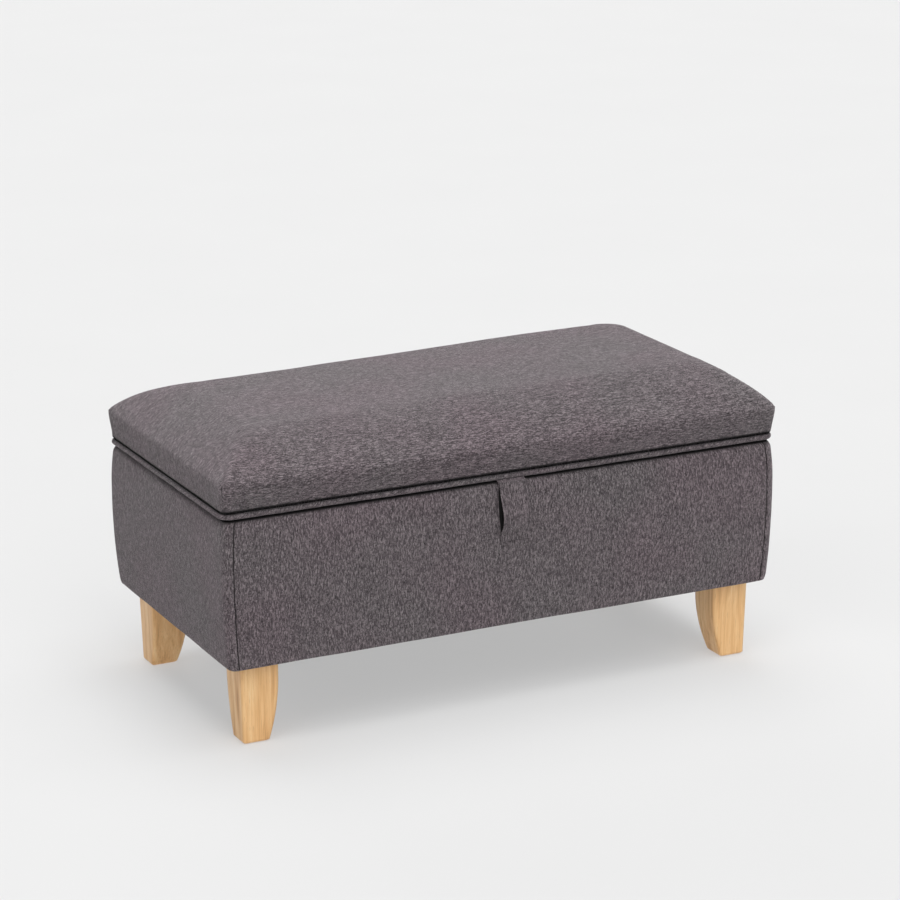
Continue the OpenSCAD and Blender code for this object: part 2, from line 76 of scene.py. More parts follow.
HALF_L = cover_hi.x
HALF_D = cover_hi.y
UNDERSIDE = cover_lo.z
BASE_TOP = cover_hi.z
LID_L = lid_hi.x
LID_D = lid_hi.y
LID_TOP = lid_hi.z
LID_UNDER = lid_lo.z
CORD_R = (cord_hi.z - cord_lo.z) / 2

# ---- the design's proportions ----

CORNER_R = 12 * MM            # plan corners of the box, the piping and the lid
CLOTH_T = 1.0 * MM
HINGE_HALF = 30 * MM
LINING_T = 0.8 * MM
BLOCK_W = 18 * MM             # side of the corner blocks
BELLY_Z = 245 * MM            # widest line of the padded box
LOW_BULGE, LOW_SPAN = 3.8 * MM, 117 * MM
HIGH_BULGE, HIGH_SPAN = 2.7 * MM, 50 * MM
EDGE_TUCK, RIM_TUCK, EDGE_SPAN = 1.2 * MM, 3.6 * MM, 9 * MM
FOOT_SAG = 2.4 * MM           # at the front and back, the cover hangs below the underside
LOW_CORNER_R = 8 * MM
FLANGE_W = 28 * MM            # cover turned in under the box and under the lid
SEAM_IN = 13.5 * MM           # upright seams on the front and back, from the ends
LEDGE_Z = cord_hi.z + 2 * MM   # the cushion's foot, above the piping
LID_WIDE_Z = 351 * MM         # widest line of the lid
LID_CORNER_R = 14 * MM
SHOULDER_L, SHOULDER_D = 78 * MM, 93 * MM
SHOULDER_BEND = 1.3           # 1 gives a straight slope and 2 a round shoulder
CORNER_GROWTH = 0.24          # of the corner radius, for each mm in from the widest line
CROWN_RISE = 1.5 * MM
LID_FULLER = 4.4 * MM         # the filling stands fuller near the right end than near the left
FOOT_CORNER_R = 9.5 * MM
CREASE_H = 2.6 * MM           # height of the painted shade on the cushion's foot
FULL_OUT = 1.8 * MM           # how far the filled cushion's sides stand out past its plan
SETTLE = 2.5 * MM             # what the filling gains in height when it is blown up
INFLATE_CAP = 3.0 * MM
INFLATE_FRAMES = 20
CUSHION_CLOTH = {
    "quality": 5, "mass": 0.3, "tension_stiffness": 12, "compression_stiffness": 12,
    "bending_stiffness": 0.4, "use_pressure": True, "uniform_pressure_force": 4.0,
    "vertex_group_mass": "held",
}
# Place and size of the patch painted dark for the shade inside a short slit at the front right corner.
SLIT_IN, SLIT_R, SLIT_H = 9 * MM, 6 * MM, 19 * MM
# Each piece's own layer of the cloth's pattern.
CORD_LAYER, SLEEVE_LAYER, TAB_LAYER, EDGE_LAYER, FLAP_LAYER = 0.3, 0.6, 0.9, 1.2, 0.4
TAB_LEAN, TAB_LEAN_L = 2.8 * MM, 55 * MM
TAB_GAP, TAB_JOINED = 8 * MM, 13 * MM
TAB_PLY = 1.2 * MM
TAB_STITCH = 0.86             # place of the tab's stitch lines, from its middle to its edge
TAB_SAG = 1.9                 # above 1, the loop hangs open low down
TAB_SKEW_BACK, TAB_SKEW_FRONT = -5 * MM, 2.5 * MM     # its plies don't lie quite in line
LEG_LEAN, LEG_FOOT_W = 2.5 * MM, 36 * MM
LEG_STRAIGHT, LEG_CHAMFER, LEG_EDGE_R = 25 * MM, 1.6 * MM, 2.6 * MM


# ---- node materials ----

class Shader:
    """A node material: each method adds one node and gives its output socket."""

    def __init__(self, name):
        self.material = bpy.data.materials.new(name)
        self.material.use_nodes = True
        self.tree = self.material.node_tree
        self.surface = self.tree.nodes["Principled BSDF"]

    def put(self, socket, value):
        if isinstance(value, bpy.types.NodeSocket):
            self.tree.links.new(value, socket)
        else:
            socket.default_value = value

    def add(self, kind, settings=(), out=0, **inputs):
        node = self.tree.nodes.new("ShaderNode" + kind)
        for key, value in dict(settings).items():
            setattr(node, key, value)
        for key, value in inputs.items():
            self.put(node.inputs[key.replace("_", " ")], value)
        return node.outputs[out]

    def math(self, operation, *values):
        node = self.tree.nodes.new("ShaderNodeMath")
        node.operation = operation
        for socket, value in zip(node.inputs, values):
            self.put(socket, value)
        return node.outputs[0]

    def weighted(self, *parts):
        """The sum of the parts, each a value and its weight."""
        terms = [self.math("MULTIPLY", value, weight) for value, weight in parts]
        total = terms[0]
        for term in terms[1:]:
            total = self.math("ADD", total, term)
        return total

    def scaled(self, vector, factors):
        node = self.tree.nodes.new("ShaderNodeVectorMath")
        node.operation = "MULTIPLY"
        self.put(node.inputs[0], vector)
        node.inputs[1].default_value = factors
        return node.outputs[0]

    def noise(self, vector, factors=(1, 1, 1), detail=2.0, roughness=0.5, distortion=0.0):
        return self.add("TexNoise", Vector=self.scaled(vector, factors), Scale=1.0,
                        Detail=detail, Roughness=roughness, Distortion=distortion)

    def mix(self, share, a, b, blend="MIX"):
        node = self.tree.nodes.new("ShaderNodeMix")
        node.data_type = "RGBA"
        node.blend_type = blend
        self.put(node.inputs[0], share)
        self.put(node.inputs[6], a)
        self.put(node.inputs[7], b)
        return node.outputs[2]

    def ramp(self, value, stops):
        node = self.tree.nodes.new("ShaderNodeValToRGB")
        elements = node.color_ramp.elements
        while len(elements) < len(stops):
            elements.new(0.5)
        for element, (place, colour) in zip(elements, stops):
            element.position = place
            element.color = grey(colour) if isinstance(colour, float) else (*colour, 1)
        self.put(node.inputs[0], value)
        return node.outputs[0]

    def span(self, value, low, high, to_low, to_high):
        return self.add("MapRange", Value=value, From_Min=low, From_Max=high,
                        To_Min=to_low, To_Max=to_high)

    def bump(self, height, strength, distance):
        return self.add("Bump", Strength=strength, Distance=distance, Height=height)

    def finish(self, **sockets):
        for key, value in sockets.items():
            self.put(self.surface.inputs[key.replace("_", " ")], value)
        return self.material


def grey(value):
    return (value, value, value, 1)


def woven_cloth(name, dark, middle, light, sizes, sheen, tint, depth):
    """Heathered cloth of slubby threads. They follow the cloth attribute: the slubs run along its
    first axis. sizes are the length of a slub and the pitch of the threads."""
    s = Shader(name)
    cloth = s.add("Attribute", {"attribute_name": "cloth"}, out=1)
    shade = s.add("Attribute", {"attribute_name": "seam"}, out=2)
    length, pitch = sizes
    sway = s.span(s.noise(cloth, (18, 40, 40)), 0.3, 0.7, -0.5 * pitch, 0.5 * pitch)
    along = s.add("SeparateXYZ", Vector=cloth)
    across = s.math("ADD", along.node.outputs[1], sway)
    layer = along.node.outputs[2]

    def threads(line, beside, long, wide, seed):
        """Slubs of one set of threads: each thread has its own run of light and dark."""
        thread = s.math("FLOOR", s.math("DIVIDE", beside, wide))
        place = s.add("CombineXYZ", X=s.math("DIVIDE", line, long),
                      Y=s.math("MULTIPLY", thread, 7.37), Z=s.math("ADD", layer, seed))
        own = s.add("TexNoise", Vector=place, Scale=1.0, Detail=1.0, Roughness=0.6)
        return s.span(own, 0.25, 0.75, 0.0, 1.0)

    fine = threads(along, across, length, pitch, 3.5)
    lumps = s.noise(cloth, (1.1 / length, 0.55 / pitch, 30), detail=3.0, roughness=0.6)
    lumps = s.span(lumps, 0.25, 0.75, 0.0, 1.0)
    cross = threads(across, along, 0.5 * length, pitch, 14.5)
    cell = s.add("CombineXYZ", X=s.math("FLOOR", s.math("DIVIDE", along, 1.6 * pitch)),
                 Y=s.math("FLOOR", s.math("DIVIDE", across, pitch)), Z=layer)
    grain = s.add("TexWhiteNoise", Vector=cell)
    tone = s.weighted((fine, 0.38), (lumps, 0.26), (cross, 0.10), (grain, 0.26))
    colour = s.ramp(tone, [(0.24, dark), (0.5, middle), (0.76, light)])
    soft = s.noise(cloth, (7, 7, 7), detail=1.0)
    cast = s.ramp(soft, [(0.36, (1.03, 0.965, 0.99)), (0.64, (0.975, 0.99, 0.975))])
    colour = s.mix(1.0, colour, cast, "MULTIPLY")
    # Painted shade: the painted shade attribute darkens the colour towards near black in creases,
    # grooves and gaps.
    colour = s.mix(s.math("MULTIPLY", shade, 0.9), colour, grey(0.006))
    turn = TAU / pitch
    round_thread = s.math("SINE", s.math("MULTIPLY", across, turn))
    round_cross = s.math("SINE", s.math("MULTIPLY", along, turn))
    weave = s.math("MULTIPLY", round_thread, round_cross)
    height = s.weighted((weave, 0.15), (tone, 0.6), (lumps, 0.20))
    return s.finish(Base_Color=colour, Roughness=s.span(tone, 0.2, 0.8, 0.84, 0.94),
                    Normal=s.bump(height, 0.9, depth), Specular_IOR_Level=0.2,
                    Sheen_Weight=sheen, Sheen_Roughness=0.4, Sheen_Tint=(*tint, 1))


def felt_cloth():
    s = Shader("felt")
    here = s.add("TexCoord", out=3)
    fibres = s.noise(here, (900, 900, 900), detail=3.0, distortion=1.5)
    tufts = s.noise(here, (140, 140, 140), detail=2.0)
    tone = s.weighted((fibres, 0.6), (tufts, 0.4))
    colour = s.ramp(tone, [(0.35, (0.035, 0.036, 0.040)), (0.65, (0.105, 0.107, 0.115))])
    return s.finish(Base_Color=colour, Roughness=0.95, Normal=s.bump(tone, 0.6, 0.0006),
                    Specular_IOR_Level=0.2, Sheen_Weight=0.25, Sheen_Roughness=0.5)


def spunbond():
    """Thin black cloth with a pattern of small pressed dots."""
    s = Shader("spunbond")
    here = s.add("TexCoord", out=3)
    dots = s.add("TexVoronoi", {"feature": "F1"}, Vector=s.scaled(here, (1, 1, 0)),
                 Scale=520.0, Randomness=0.15)
    fibres = s.noise(here, (700, 260, 500), detail=3.0, distortion=2.0)
    height = s.math("ADD", s.span(dots, 0.1, 0.45, 0.0, 0.7), s.math("MULTIPLY", fibres, 0.4))
    colour = s.ramp(fibres, [(0.3, (0.009, 0.009, 0.010)), (0.7, (0.026, 0.026, 0.028))])
    return s.finish(Base_Color=colour, Roughness=s.span(dots, 0.1, 0.45, 0.55, 0.8),
                    Normal=s.bump(height, 0.5, 0.0004))


def leg_wood():
    """Light golden wood with upright grain and a satin lacquer."""
    s = Shader("leg_wood")
    here = s.add("TexCoord", out=3)
    drift = s.noise(here, (28, 28, 5), detail=2.0)
    bent = s.add("VectorMath", {"operation": "ADD"})
    s.put(bent.node.inputs[0], here)
    s.put(bent.node.inputs[1], s.scaled(s.add("CombineXYZ", X=drift, Y=drift), (0.03, 0.03, 0)))
    bands = s.noise(bent, (110, 110, 3.5), detail=2.5, roughness=0.55)
    streaks = s.noise(here, (520, 520, 9), detail=2.0)
    pores = s.noise(here, (1500, 1500, 60), detail=1.0)
    tone = s.weighted((bands, 0.7), (streaks, 0.3))
    colour = s.ramp(tone, [(0.30, (0.56, 0.275, 0.098)), (0.46, (0.83, 0.475, 0.198)),
                           (0.60, (0.94, 0.60, 0.285)), (0.74, (0.98, 0.70, 0.38))])
    pitted = s.span(pores, 0.62, 0.72, 0.0, 0.35)
    colour = s.mix(pitted, colour, (0.40, 0.19, 0.07, 1))
    height = s.math("SUBTRACT", s.math("MULTIPLY", streaks, 0.5), pitted)
    return s.finish(Base_Color=colour, Roughness=s.span(tone, 0.3, 0.7, 0.50, 0.38),
                    Normal=s.bump(height, 0.25, 0.0003), Coat_Weight=0.15, Coat_Roughness=0.35)


def plywood():
    """Plywood whose grain runs along X, with the glue lines of its plies at the edges."""
    s = Shader("plywood")
    here = s.add("TexCoord", out=3)
    grain = s.noise(here, (6, 160, 160), detail=3.0, distortion=0.6)
    knots = s.noise(here, (14, 30, 30), detail=1.0)
    tone = s.weighted((grain, 0.75), (knots, 0.25))
    colour = s.ramp(tone, [(0.34, (0.50, 0.33, 0.18)), (0.66, (0.74, 0.56, 0.36))])
    return s.finish(Base_Color=colour, Roughness=s.span(grain, 0.3, 0.7, 0.75, 0.6),
                    Normal=s.bump(grain, 0.3, 0.0004))


def foam():
    s = Shader("foam")
    here = s.add("TexCoord", out=3)
    cells = s.add("TexVoronoi", Vector=here, Scale=900.0)
    colour = s.ramp(cells, [(0.1, (0.55, 0.50, 0.36)), (0.7, (0.78, 0.74, 0.58))])
    return s.finish(Base_Color=colour, Roughness=0.95, Normal=s.bump(cells, 0.6, 0.0006))


def steel(name, colour, roughness):
    """Plated steel: cloudy plating, fine scratches along X and dull, stained spots."""
    s = Shader(name)
    here = s.add("TexCoord", out=3)
    clouds = s.noise(here, (90, 90, 90), detail=3.0)
    scratches = s.noise(here, (120, 1800, 1800), detail=2.0)
    low = tuple(0.72 * c for c in colour)
    worn = s.weighted((clouds, 0.6), (scratches, 0.4))
    return s.finish(Base_Color=s.ramp(worn, [(0.35, low), (0.62, colour)]), Metallic=1.0,
                    Roughness=s.span(worn, 0.3, 0.7, roughness + 0.12, roughness - 0.06),
                    Normal=s.bump(scratches, 0.15, 0.0001))


def plastic():
    s = Shader("glide_plastic")
    here = s.add("TexCoord", out=3)
    grain = s.noise(here, (1200, 1200, 1200), detail=2.0)
    scuffs = s.noise(here, (60, 60, 60), detail=4.0)
    colour = s.ramp(scuffs, [(0.4, (0.020, 0.020, 0.022)), (0.7, (0.055, 0.055, 0.058))])
    return s.finish(Base_Color=colour, Roughness=s.span(scuffs, 0.3, 0.7, 0.35, 0.6),
                    Normal=s.bump(grain, 0.2, 0.0002))


COVER = woven_cloth("cover_fabric", (0.030, 0.0260, 0.0280), (0.118, 0.1010, 0.1080),
                    (0.300, 0.262, 0.276), (7 * MM, 1.1 * MM), 0.32, (0.97, 0.90, 0.93), 0.0012)
# A darker copy of the cover cloth without sheen: painted shade for the faces deep in creases.
PAINTED_CREASE_SHADE = woven_cloth("cover_painted_crease_shade", (0.022, 0.0190, 0.0200), (0.050, 0.0430, 0.0455),
                     (0.090, 0.0780, 0.0820), (5.5 * MM, 1.3 * MM), 0.0, (1, 1, 1), 0.0008)
CREASE_FROM = 0.8             # faces with more painted shade than this get the darker, sheenless crease copy of the cloth

LINING = woven_cloth("lining_fabric", (0.030, 0.031, 0.034), (0.062, 0.064, 0.069),
                     (0.105, 0.108, 0.115), (2.5 * MM, 0.9 * MM), 0.15, (0.9, 0.9, 0.9), 0.0004)
FELT = felt_cloth()
DUST = spunbond()
WOOD = leg_wood()
ZINC = steel("zinc_steel", (0.74, 0.75, 0.76), 0.36)
SLOT_MATERIALS = {
    "plywood": plywood(), "foam": foam(), "leg_wood": WOOD, "zinc_steel": ZINC,
    "dark_steel": steel("dark_steel", (0.20, 0.20, 0.21), 0.42), "glide_plastic": plastic(),
    "lining_fabric": LINING, "cover_fabric": COVER, "dust_cloth": DUST,
}

STEEL_EDGE = 0.25 * MM
PRESSED = ("left_stay_plate", "right_stay_plate", "left_stay_arm", "right_stay_arm",
           "left_stay_link", "right_stay_link", "left_lid_bracket", "right_lid_bracket")


def finish_cad_nodes():
    """Every CAD node gets the material of its slot, and pressed steel gets soft edges."""
    for name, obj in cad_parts.items():
        for place in obj.material_slots:
            place.material = SLOT_MATERIALS[place.material.name]
        if name in PRESSED:
            edge = obj.modifiers.new("edge", "BEVEL")
            edge.width = STEEL_EDGE
            edge.segments = 2
            edge.limit_method = "ANGLE"
            edge.angle_limit = math.radians(50)


# ---- meshes ----

def soft_noise(points, scale, seed):
    """Smooth noise, about -1 to 1, at each point."""
    shift = Vector((seed * 7.31, seed * 3.17, seed * 5.53))
    return np.array([noise.noise(Vector(p) * scale + shift) for p in points])


def ring(a, b, r, stations):
    """Points on a rounded rectangle of half sizes a and b. A station's whole part is the side, from
    the front and turning left, and its fraction runs by length from one corner's middle to the next."""
    side = np.floor(stations).astype(int) % 4
    share = stations - np.floor(stations)
    long = np.where(side % 2 == 0, a, b)
    wide = np.where(side % 2 == 0, b, a)
    straight = long - r
    d = (2 * share - 1) * (straight + r * math.pi / 4)
    turn = np.clip((np.abs(d) - straight) / max(r, 1e-9), 0, math.pi / 4)
    along = np.sign(d) * (np.minimum(np.abs(d), straight) + r * np.sin(turn))
    out = -(wide - r * (1 - np.cos(turn)))
    c = np.array([1, 0, -1, 0])[side]
    s = np.array([0, 1, 0, -1])[side]
    return np.stack([along * c - out * s, along * s + out * c], 1)


def at_height(plan, z):
    """Points of a plan outline at a height, or each at its own."""
    return np.column_stack([plan, np.broadcast_to(z, len(plan))])


def round_stations(nx, ny):
    """Even stations round a ring with nx steps on the long sides and ny on the short ones."""
    return np.concatenate([side + np.arange(n) / n for side, n in enumerate((nx, ny, nx, ny))])


def strip_faces(rows, columns):
    """Quads between rows of points; each row's last point joins its first."""
    i, j = np.divmod(np.arange((rows - 1) * columns), columns)
    after = (j + 1) % columns
    return np.stack([i * columns + j, i * columns + after, (i + 1) * columns + after,
                     (i + 1) * columns + j], 1)


def strip_cloth(up, run, layer):
    """The corners of a strip's quads on the cloth: up for each row, run along the rows. Layers
    keep the threads of one piece unlike those of another."""
    i, j = np.divmod(np.arange((len(up) - 1) * (len(run) - 1)), len(run) - 1)
    u = np.stack([up[i], up[i], up[i + 1], up[i + 1]], 1)
    v = np.stack([run[j], run[j + 1], run[j + 1], run[j]], 1)
    return np.stack([u, v, np.full_like(u, layer)], -1)


def run_along(points):
    """Distance from the first point to each one along the line through them."""
    return np.concatenate([[0], np.cumsum(np.linalg.norm(np.diff(points, axis=0), axis=1))])


def grid_cells(nx, ny):
    """Quads of a grid of nx by ny cells, whose points run along Y first."""
    i, j = np.divmod(np.arange(nx * ny), ny)
    first = i * (ny + 1) + j
    return np.stack([first, first + ny + 1, first + ny + 2, first + 1], 1)


def mesh_object(name, points, faces, material):
    """A smooth shaded object. points and faces are lists."""
    mesh = bpy.data.meshes.new(name)
    mesh.from_pydata(points, [], faces)
    mesh.update()
    mesh.shade_smooth()
    mesh.materials.append(material)
    obj = bpy.data.objects.new(name, mesh)
    bpy.context.scene.collection.objects.link(obj)
    return obj


def cloth_piece(name, points, faces, material, cloth, seam):
    """A piece of cloth. cloth is one vector per face corner, and the last argument gives one number per
    point: painted shade, which darkens the colour.
    """
    obj = mesh_object(name, points.tolist(), faces.tolist(), material)
    obj.data.attributes.new("cloth", "FLOAT_VECTOR", "CORNER").data.foreach_set(
        "vector", np.asarray(cloth, np.float32).ravel())
    obj.data.attributes.new("seam", "FLOAT", "POINT").data.foreach_set(
        "value", np.asarray(seam, np.float32))
    # Faces deep in painted shade get the darker, sheenless copy of the cloth.
    if np.max(seam) > CREASE_FROM:
        obj.data.materials.append(PAINTED_CREASE_SHADE)
        deep = seam[faces].mean(1) > CREASE_FROM
        obj.data.polygons.foreach_set("material_index", deep.astype(np.int32))
    return obj


def thicken(obj, thickness):
    """Gives an open skin its thickness, inwards, and keeps the result."""
    solid = obj.modifiers.new("thickness", "SOLIDIFY")
    solid.thickness = thickness
    solid.offset = -1
    solid.use_even_offset = False
    depsgraph = bpy.context.evaluated_depsgraph_get()
    made = bpy.data.meshes.new_from_object(obj.evaluated_get(depsgraph))
    made.name = obj.name
    obj.modifiers.clear()
    obj.data = made


def coordinates(mesh):
    found = np.zeros(len(mesh.vertices) * 3)
    mesh.vertices.foreach_get("co", found)
    return found.reshape(-1, 3)


# ---- lid ----

def lid_profile(s):
    """The cushion's level outline as s runs 0 to 3: flare, shoulder, crown. Gives its half sizes,
    height and corner radius."""
    foot_l, foot_d = cord_hi.x - CORD_R - 0.3 * MM, cord_hi.y - CORD_R - 0.3 * MM
    top = LID_TOP - CROWN_RISE
    if s <= 1:
        out = math.sin(s * math.pi / 2)
        return (foot_l + (LID_L - foot_l) * out, foot_d + (LID_D - foot_d) * out,
                LEDGE_Z + (LID_WIDE_Z - LEDGE_Z) * s,
                FOOT_CORNER_R + (LID_CORNER_R - FOOT_CORNER_R) * out)
    if s <= 2:
        angle = (s - 1) * math.pi / 2
        bend = 2 / SHOULDER_BEND
        reach = 1 - max(0, math.cos(angle)) ** bend
        return (LID_L - SHOULDER_L * reach, LID_D - SHOULDER_D * reach,
                LID_WIDE_Z + (top - LID_WIDE_Z) * math.sin(angle) ** bend,
                LID_CORNER_R + CORNER_GROWTH * SHOULDER_L * reach)
    share = s - 2
    half_d = LID_D - SHOULDER_D
    return (LID_L - SHOULDER_L - half_d * share, half_d * (1 - share),
            top + CROWN_RISE * math.sin(share * math.pi / 2),
            LID_CORNER_R + CORNER_GROWTH * SHOULDER_L)


def even_profile(start, end, count, closer=1.0):
    """count + 1 points of the lid's profile, evenly spaced or closer together near the start, with
    their distances along it."""
    fine = np.array([lid_profile(s) for s in np.linspace(start, end, 900)])
    run = np.concatenate([[0], np.cumsum(np.hypot(np.diff(fine[:, 1]), np.diff(fine[:, 2])))])
    at = run[-1] * np.linspace(0, 1, count + 1) ** closer
    return np.stack([np.interp(at, run, fine[:, k]) for k in range(4)], 1), at


def nested_grid(nx, ny, levels, shrink):
    """A face of (nx + 1) x (ny + 1) points in nested rounded rectangles: levels are its rings from
    the border in, as (half length, half depth, height, corner radius)."""
    grid = np.zeros((nx + 1, ny + 1, 3))
    for k, (a, b, z, r) in enumerate(levels):
        a, b = a - shrink, max(b - shrink, 0)
        r = min(r, 0.98 * b)
        mx, my = nx - 2 * k, ny - 2 * k
        along = np.arange(mx + 1) / mx * (1 - 1e-9)
        grid[k:nx - k + 1, k, :2] = ring(a, b, r, along)
        grid[k:nx - k + 1, ny - k, :2] = ring(a, b, r, 2 + along)[::-1]
        if my > 0:
            across = np.arange(my + 1) / my * (1 - 1e-9)
            grid[nx - k, k:ny - k + 1, :2] = ring(a, b, r, 1 + across)
            grid[k, k:ny - k + 1, :2] = ring(a, b, r, 3 + across)[::-1]
        grid[k:nx - k + 1, [k, ny - k], 2] = z
        grid[[[k], [nx - k]], k:ny - k + 1, 2] = z
    return grid


def grid_border(nx, ny):
    """Indices of a face's border points, from the front left corner and turning left."""
    at = lambda i, j: i * (ny + 1) + j
    return ([at(i, 0) for i in range(nx)] + [at(nx, j) for j in range(ny)]
            + [at(nx - i, ny) for i in range(nx)] + [at(0, ny - j) for j in range(ny)])


def cushion_form(shrink):
    """The lid's cushion as a closed quad mesh. Also gives each corner's place on the cloth, which is
    cut in one piece, with its length along X, and drawn down over the four sides."""
    ny, nx, side_rows = 84, 160, 10
    crown, crown_run = even_profile(1, 3, ny // 2)
    flare, flare_run = even_profile(0, 1, side_rows, 1.5)
    top = nested_grid(nx, ny, crown, shrink)
    foot_a, foot_b = flare[0, :2]
    inwards = [foot_b * (k / (ny / 2)) ** 0.9 for k in range(ny // 2 + 1)]
    under = nested_grid(nx, ny, [(foot_a - i, foot_b - i, LEDGE_Z, FOOT_CORNER_R)
                                 for i in inwards], shrink)
    stations = round_stations(nx, ny)
    sides = [at_height(ring(a - shrink, b - shrink, r, stations), z) for a, b, z, r in flare[1:-1]]
    n_face = (nx + 1) * (ny + 1)
    points = np.concatenate([top.reshape(-1, 3), under.reshape(-1, 3), *sides])
    border = np.array(grid_border(nx, ny))
    loops = [border + n_face]
    loops += [2 * n_face + k * len(border) + np.arange(len(border)) for k in range(side_rows - 1)]
    loops.append(border)

    cell = grid_cells(nx, ny)
    side_faces = []
    for low, high in zip(loops, loops[1:]):
        side_faces.append(np.stack([low, np.roll(low, -1), np.roll(high, -1), high], 1))
    faces = np.concatenate([cell, cell[:, ::-1] + n_face, *side_faces])

    # On the cloth, a point's distance from the middle runs over the crown and down the sides.
    half_run = crown_run[-1]
    reach = np.zeros(len(points))
    gi, gj = np.meshgrid(np.arange(nx + 1), np.arange(ny + 1), indexing="ij")
    level = np.minimum(np.minimum(gi, nx - gi), np.minimum(gj, ny - gj)).ravel()
    reach[:n_face] = half_run - crown_run[level]
    for k, loop in enumerate(loops[:-1]):
        reach[loop] = half_run + flare_run[-1] - flare_run[k]
    reach[n_face:2 * n_face] = half_run + flare_run[-1] + np.array(inwards)[level]
    centre = points[faces].mean(1)
    at_end = (LID_L - np.abs(centre[:, 0])) < (LID_D - np.abs(centre[:, 1]))
    x, y = points[faces][:, :, 0], points[faces][:, :, 1]
    out = reach[faces]
    end_sign = np.sign(centre[:, 0])[:, None]
    front_sign = np.sign(centre[:, 1] + 1e-6)[:, None]
    along = np.where(at_end[:, None], end_sign * (out + LID_L - LID_D), x)
    across = np.where(at_end[:, None], y, front_sign * out)
    cloth = np.stack([along, across, np.zeros_like(along)], -1)

    # Painted shade: the crease over the piping is painted dark, and so is a small patch at the front
    # right corner, for the shade inside a short slit there.
    above = points[:, 2] - LEDGE_Z
    seam = np.clip(1.5 * (1 - above / CREASE_H), 0, 1)
    slit = np.hypot(points[:, 0] - LID_L, points[:, 1] + LID_D - SLIT_IN)
    seam = np.maximum(seam, 0.9 * (slit < SLIT_R) * (above < SLIT_H))
    return points, faces, cloth, seam


def fuller(points):
    """How much higher the filling stands at each point than an even one would, before the
    cushion is blown up."""
    share = np.clip((points[:, 2] - LID_WIDE_Z) / (LID_TOP - LID_WIDE_Z), 0, 1)
    return (LID_FULLER * np.sin(points[:, 0] / (0.75 * LID_L) * math.pi / 2) - SETTLE) * share


def inflate(obj, held):
    """Blows the skin up as cloth with the held points pinned, and applies the result. No point
    moves further than the cap."""
    scene = bpy.context.scene
    rest = coordinates(obj.data)
    pins = obj.vertex_groups.new(name="held")
    pins.add([int(i) for i in np.nonzero(held)[0]], 1.0, "REPLACE")
    cloth = obj.modifiers.new("cloth", "CLOTH")
    for key, value in CUSHION_CLOTH.items():
        setattr(cloth.settings, key, value)
    cloth.settings.effector_weights.gravity = 0
    cloth.collision_settings.use_collision = False
    cloth.point_cache.frame_start = 1
    cloth.point_cache.frame_end = INFLATE_FRAMES
    for f in range(1, INFLATE_FRAMES + 1):
        scene.frame_set(f)
    depsgraph = bpy.context.evaluated_depsgraph_get()
    moved = coordinates(obj.evaluated_get(depsgraph).data) - rest
    obj.modifiers.remove(cloth)
    obj.vertex_groups.remove(pins)
    scene.frame_set(1)
    size = np.linalg.norm(moved, axis=1, keepdims=True)
    capped = INFLATE_CAP * np.tanh(size / INFLATE_CAP)
    moved *= capped / np.maximum(size, 1e-9)
    obj.data.vertices.foreach_set("co", (rest + moved).ravel())
    obj.data.update()


def lid_cushion():
    """The lid's padding in its cover, shaped by its filling."""
    points, faces, cloth, seam = cushion_form(-FULL_OUT)
    points[:, 2] += fuller(points)
    obj = cloth_piece("lid_cushion", points, faces, COVER, cloth, seam)
    under = points[:, 2] < LEDGE_Z + 0.5 * MM
    inflate(obj, under)
    shaped = coordinates(obj.data)
    # The underside lies flat on the board; round it the skin comes down to the piping.
    on_board = under & (np.abs(points[:, 0]) < board_hi.x) & (np.abs(points[:, 1]) < board_hi.y)
    shaped[on_board, 2] = board_hi.z
    # Slight unevenness in the filling.
    normals = np.zeros(len(points) * 3)
    obj.data.vertices.foreach_get("normal", normals)
    swell = 0.7 * MM * soft_noise(points, 9, 1) + 0.35 * MM * soft_noise(points, 26, 2)
    shaped[~under] += normals.reshape(-1, 3)[~under] * swell[~under, None]
    obj.data.vertices.foreach_set("co", shaped.ravel())
    obj.data.update()
    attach(obj, "lid")
    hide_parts("lid_cover", "lid_foam")


def lid_piping():
    """The corded welt: a covered cord, a little uneven, round the foot of the cushion."""
    middle_z = (cord_hi.z + cord_lo.z) / 2
    line = ring(cord_hi.x - CORD_R, cord_hi.y - CORD_R, CORNER_R, round_stations(240, 120))
    ahead, behind = np.roll(line, -1, 0), np.roll(line, 1, 0)
    tangent = ahead - behind
    tangent /= np.linalg.norm(tangent, axis=1, keepdims=True)
    outward = np.stack([tangent[:, 1], -tangent[:, 0]], 1)
    flat = at_height(line, middle_z)
    lift = 0.30 * MM * soft_noise(flat, 38, 3)
    sway = 0.25 * MM * soft_noise(flat, 30, 4)
    swell = 1 + 0.05 * soft_noise(flat, 110, 5)
    run = run_along(np.vstack([line, line[:1]]))
    sides = 14
    rows = []
    for k in range(sides):
        angle = TAU * k / sides
        across = CORD_R * swell * math.cos(angle) + sway
        rows.append(at_height(line + outward * across[:, None],
                              middle_z + lift + CORD_R * swell * math.sin(angle)))
    points = np.concatenate(rows)
    faces = strip_faces(sides + 1, len(line)) % len(points)
    # The cover strip is cut on the bias, so its threads wind round the cord.
    around = TAU * CORD_R / sides
    straight = strip_cloth(np.arange(sides + 1) * around, run, CORD_LAYER)
    v, u = straight[..., 0], straight[..., 1]
    cloth = np.stack([(u + v) * 0.707, (v - u) * 0.707, straight[..., 2]], -1)
    # Painted shade on the cord's top and bottom, where it meets the cushion and the box.
    edge = np.abs(np.sin(TAU * np.arange(sides) / sides))
    seam = np.repeat(np.clip((edge - 0.6) / 0.35, 0, 1), len(line))
    obj = cloth_piece("lid_piping_cord", points, faces, COVER, cloth, seam)
    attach(obj, "lid")
    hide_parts("lid_piping")


def hinge_places():
    """The middles of the three hinges along X."""
    middle = (leaf_hi.x + leaf_lo.x) / 2
    pitch = (leaf_hi.x - leaf_lo.x) / 2 - HINGE_HALF
    return [middle - pitch, middle, middle + pitch]


